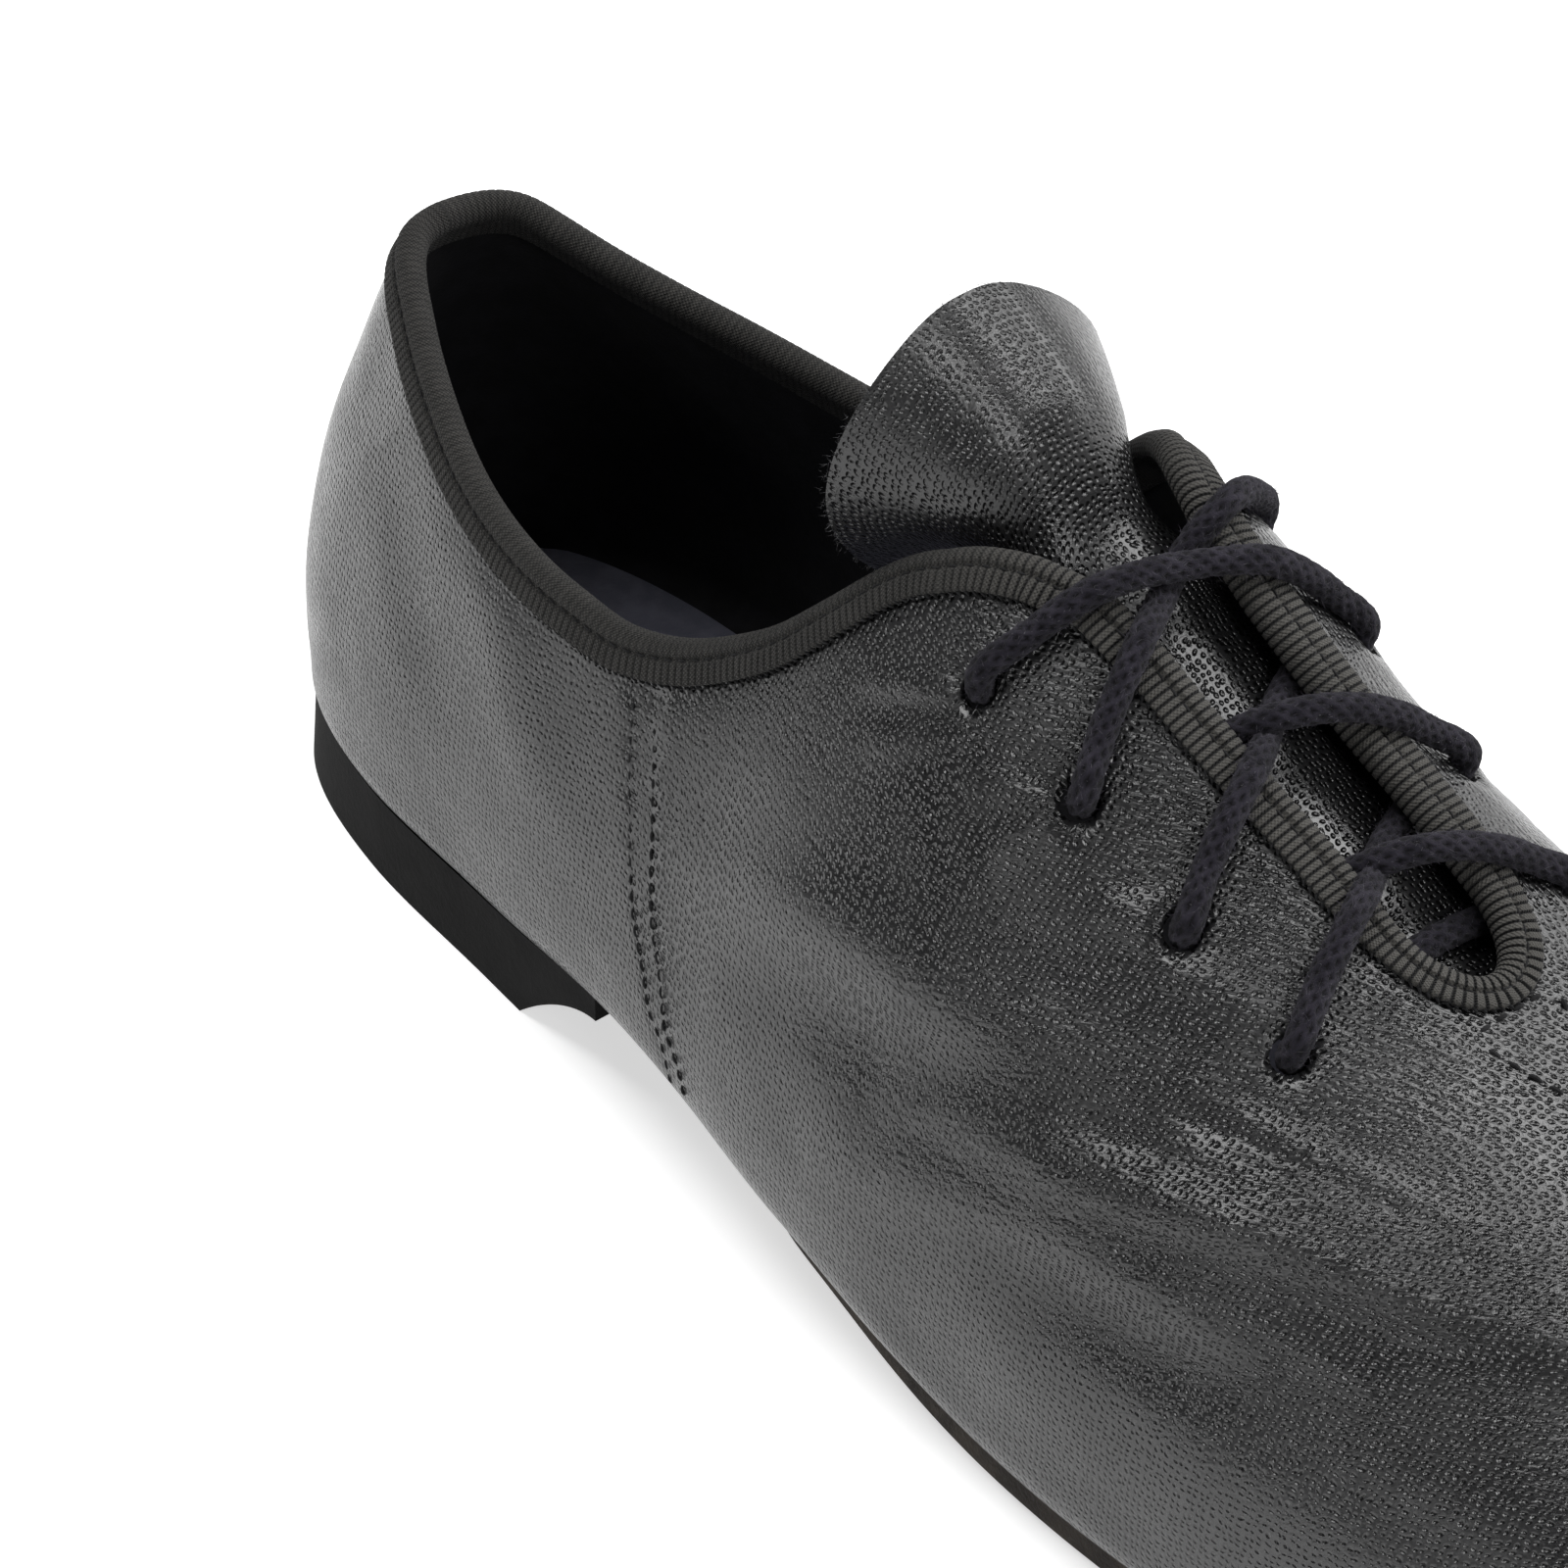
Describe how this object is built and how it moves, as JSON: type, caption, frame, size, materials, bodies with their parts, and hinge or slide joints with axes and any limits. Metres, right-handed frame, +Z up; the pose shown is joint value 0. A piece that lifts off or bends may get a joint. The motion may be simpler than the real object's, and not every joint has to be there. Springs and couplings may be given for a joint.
{
  "type": "jazz shoe",
  "caption": "Low split-sole lace-up dance shoe in soft black leather, with a ribbed tape round its top line, a tall tongue, a round lace and a low rubber heel.",
  "frame": {"origin": "on the floor under the middle of the heel, on the heel's flat underside", "axes": "+X to the toe along the foot, -Y to the outside of the foot, +Z up"},
  "size_m": [0.2508, 0.0846, 0.099],
  "materials": {
    "black_leather": "satin grained leather",
    "ribbed_tape": "matt ribbed tape",
    "tongue_leather": "satin grained leather",
    "insole_cloth": "matt cloth",
    "sole_suede": "rough suede",
    "heel_rubber": "matt rubber",
    "lace_braid": "matt braided cotton"
  },
  "bodies": {
    "root": {"upper": "black_leather", "collar_binding": "ribbed_tape", "tongue": "tongue_leather", "insole": "insole_cloth", "forefoot_sole": "sole_suede", "heel": "heel_rubber", "lace_cross_1": "lace_braid", "lace_cross_2": "lace_braid", "lace_cross_3": "lace_braid"}
  },
  "joints": []
}
